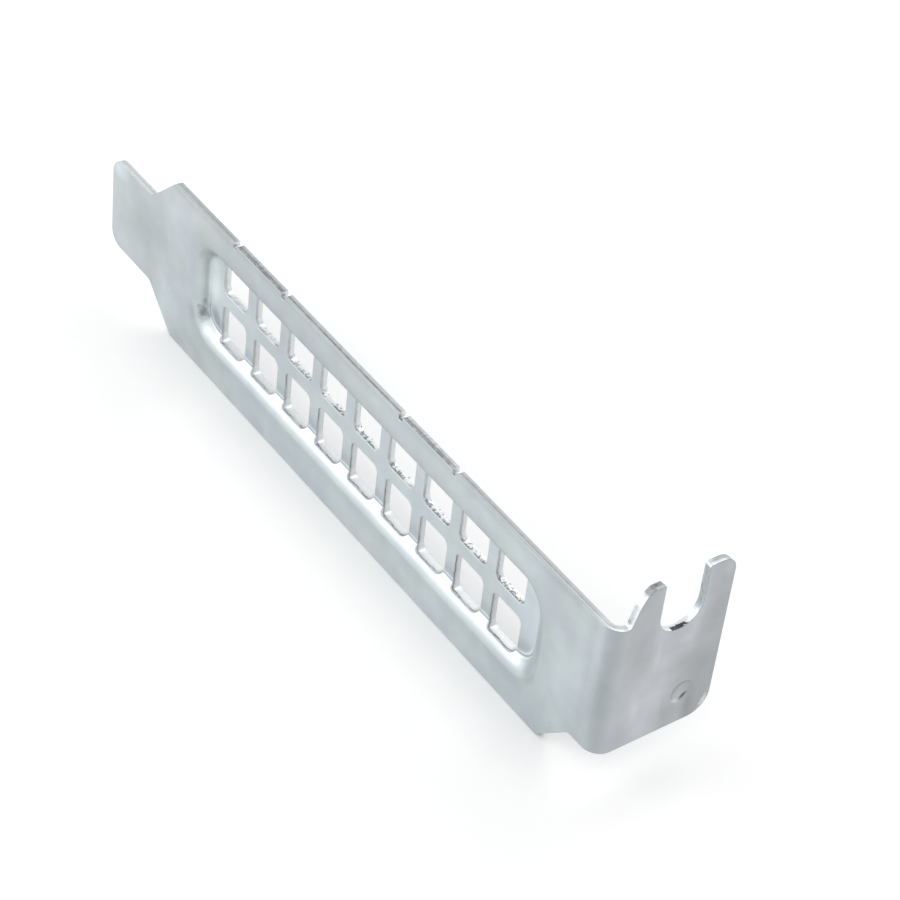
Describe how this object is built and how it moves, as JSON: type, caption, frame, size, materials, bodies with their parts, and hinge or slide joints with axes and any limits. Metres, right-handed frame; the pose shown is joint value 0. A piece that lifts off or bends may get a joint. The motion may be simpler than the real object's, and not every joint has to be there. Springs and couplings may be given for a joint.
{
  "type": "expansion slot cover bracket",
  "caption": "Vented steel cover bracket for a half-height expansion slot: drawn panel with rows of vents, a folded tab with a screw notch, and a narrow tongue.",
  "frame": {"origin": "middle of the base: level with the long lower edge, halfway along the cover and halfway from its inner face to the tab's free edge", "axes": "+X along the cover towards the folded tab, +Y from the flat inner face to the outer side, where the tab points, +Z across the width, towards the prongs' tips"},
  "size_m": [0.08, 0.0122, 0.0221],
  "materials": {
    "zinc_plated_steel": "satin zinc plate, faintly cloudy"
  },
  "bodies": {
    "root": {"bracket": "zinc_plated_steel"}
  },
  "joints": []
}
